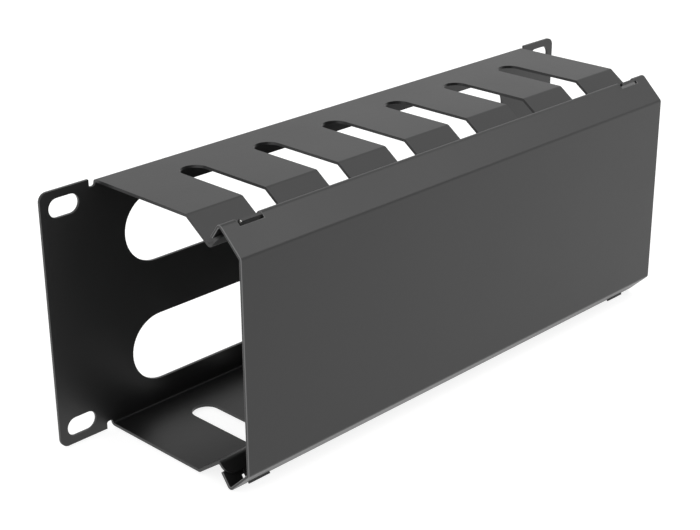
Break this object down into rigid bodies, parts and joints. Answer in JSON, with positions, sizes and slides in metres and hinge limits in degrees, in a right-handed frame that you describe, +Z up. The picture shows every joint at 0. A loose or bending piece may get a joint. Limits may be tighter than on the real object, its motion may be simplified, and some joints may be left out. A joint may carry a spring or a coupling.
{
  "type": "horizontal cable manager",
  "caption": "Half-width rack cable manager: a folded steel duct with slotted fingers, a windowed back plate, rack ears and a clip-on front cover.",
  "frame": {"origin": "centre of the panel's rear face, which lies against the rack posts", "axes": "+X along the panel's width, +Z up, -Y forward out of the rack towards the cover"},
  "size_m": [0.254, 0.0687, 0.0888],
  "materials": {
    "black_powder_coat": "fine matte black powder coat on folded steel"
  },
  "bodies": {
    "channel": {"rack_channel": "black_powder_coat"},
    "cover": {"front_cover": "black_powder_coat"}
  },
  "joints": [
    {"name": "cover_pull", "type": "slide", "parent": "channel", "child": "cover", "axis": [0, -1, 0], "range_m": [0, 0.08]}
  ]
}
